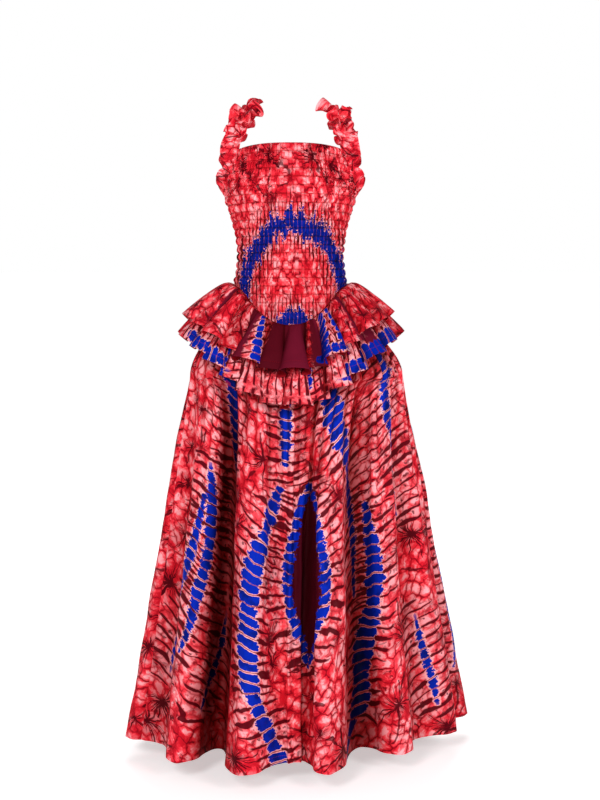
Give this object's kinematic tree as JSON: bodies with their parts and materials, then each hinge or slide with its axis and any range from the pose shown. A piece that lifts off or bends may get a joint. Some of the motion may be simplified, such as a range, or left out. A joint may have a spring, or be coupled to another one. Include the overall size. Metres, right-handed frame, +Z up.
{
  "type": "ankara print dress",
  "caption": "Floor-length wax print dress, worn and hollow: smocked bodice, frilled shoulder straps, two-tier gathered basque peplum and a full skirt in hanging folds.",
  "frame": {"origin": "midway between the two shoulder straps, at the height where the shoulders carry them", "axes": "+Z up; the front of the dress faces -Y and the wearer's left side is at +X"},
  "size_m": [0.8499, 0.7026, 1.5302],
  "materials": {
    "bodice_cloth": "smocked cotton, matt",
    "peplum_cloth": "printed cotton, matt",
    "skirt_cloth": "printed cotton, matt",
    "strap_cloth": "gathered cotton, matt"
  },
  "bodies": {
    "root": {"bodice_front": "bodice_cloth", "bodice_back": "bodice_cloth", "strap_left": "strap_cloth", "strap_right": "strap_cloth", "peplum_upper_front": "peplum_cloth", "peplum_upper_back": "peplum_cloth", "peplum_lower_front": "peplum_cloth", "peplum_lower_back": "peplum_cloth", "skirt_front": "skirt_cloth", "skirt_back": "skirt_cloth"}
  },
  "joints": []
}
